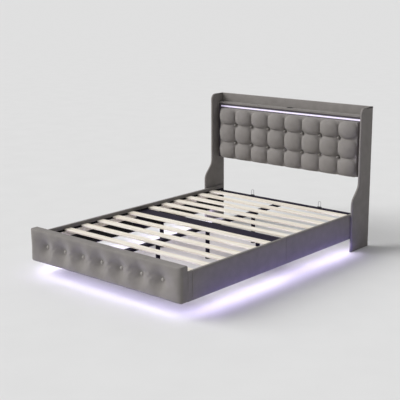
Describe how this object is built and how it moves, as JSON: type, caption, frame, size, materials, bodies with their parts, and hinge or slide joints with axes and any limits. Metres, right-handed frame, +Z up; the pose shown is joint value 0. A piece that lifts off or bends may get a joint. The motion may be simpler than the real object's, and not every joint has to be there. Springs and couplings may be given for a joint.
{
  "type": "floating bed",
  "caption": "Upholstered double bed with a tufted winged headboard, floating side rails, slatted base, charging shelf and LED light under the rails and along the headboard.",
  "frame": {"origin": "centre of the footprint on the floor, at the bottom of the bounding box", "axes": "+Z up, +Y from the foot to the head, +X to the right as seen from the foot"},
  "size_m": [1.4806, 2.1559, 1.095],
  "materials": {
    "grey_cloth": "matt woven cloth",
    "pale_timber": "sanded, unvarnished",
    "plywood": "raw plywood",
    "black_steel": "satin powder coat",
    "wire_steel": "bright drawn wire",
    "led_aluminium": "satin anodised",
    "black_plastic": "fine matt",
    "lit_diffuser": "translucent, lit from inside"
  },
  "bodies": {
    "bed_frame": {"headboard_back_panel": "grey_cloth", "headboard_pad": "grey_cloth", "footboard_cushion": "grey_cloth", "headboard_shelf": "grey_cloth", "headboard_front_board": "grey_cloth", "headboard_bottom_board": "grey_cloth", "left_wing": "grey_cloth", "right_wing": "grey_cloth", "foot_corner_left": "grey_cloth", "foot_corner_right": "grey_cloth", "rail_front_left": "grey_cloth", "rail_front_right": "grey_cloth", "rail_rear_left": "grey_cloth", "rail_rear_right": "grey_cloth", "slat_01": "pale_timber", "slat_02": "pale_timber", "slat_03": "pale_timber", "slat_04": "pale_timber", "slat_05": "pale_timber", "slat_06": "pale_timber", "slat_07": "pale_timber", "slat_08": "pale_timber", "slat_09": "pale_timber", "slat_10": "pale_timber", "slat_11": "pale_timber", "slat_12": "pale_timber", "cleat_front_left": "pale_timber", "cleat_front_right": "pale_timber", "cleat_rear_left": "pale_timber", "cleat_rear_right": "pale_timber", "headboard_pad_board": "plywood", "footboard_board": "plywood", "centre_beam_front": "black_steel", "centre_beam_rear": "black_steel", "cross_beam_front": "black_steel", "cross_beam_rear": "black_steel", "head_cross_rail": "black_steel", "rail_join_bracket_left": "black_steel", "rail_join_bracket_right": "black_steel", "leg_front": "black_steel", "leg_rear": "black_steel", "leg_middle": "black_steel", "leg_middle_left": "black_steel", "leg_middle_right": "black_steel", "mattress_hoop_left": "wire_steel", "mattress_hoop_right": "wire_steel", "headboard_led_channel": "led_aluminium", "charging_station": "black_plastic", "led_controller": "black_plastic", "hoop_clip_left": "black_plastic", "hoop_clip_right": "black_plastic", "headboard_led_strip": "lit_diffuser", "led_strip_left": "lit_diffuser", "led_strip_right": "lit_diffuser", "led_strip_foot": "lit_diffuser"},
    "levelling_foot_front": {"levelling_foot_front": "black_plastic"},
    "levelling_foot_rear": {"levelling_foot_rear": "black_plastic"},
    "levelling_foot_middle": {"levelling_foot_middle": "black_plastic"},
    "levelling_foot_middle_left": {"levelling_foot_middle_left": "black_plastic"},
    "levelling_foot_middle_right": {"levelling_foot_middle_right": "black_plastic"}
  },
  "joints": [
    {"name": "level_front", "type": "slide", "parent": "bed_frame", "child": "levelling_foot_front", "axis": [0, 0, -1], "range_m": [0, 0.01]},
    {"name": "level_rear", "type": "slide", "parent": "bed_frame", "child": "levelling_foot_rear", "axis": [0, 0, -1], "range_m": [0, 0.01]},
    {"name": "level_middle", "type": "slide", "parent": "bed_frame", "child": "levelling_foot_middle", "axis": [0, 0, -1], "range_m": [0, 0.01]},
    {"name": "level_middle_left", "type": "slide", "parent": "bed_frame", "child": "levelling_foot_middle_left", "axis": [0, 0, -1], "range_m": [0, 0.01]},
    {"name": "level_middle_right", "type": "slide", "parent": "bed_frame", "child": "levelling_foot_middle_right", "axis": [0, 0, -1], "range_m": [0, 0.01]}
  ]
}
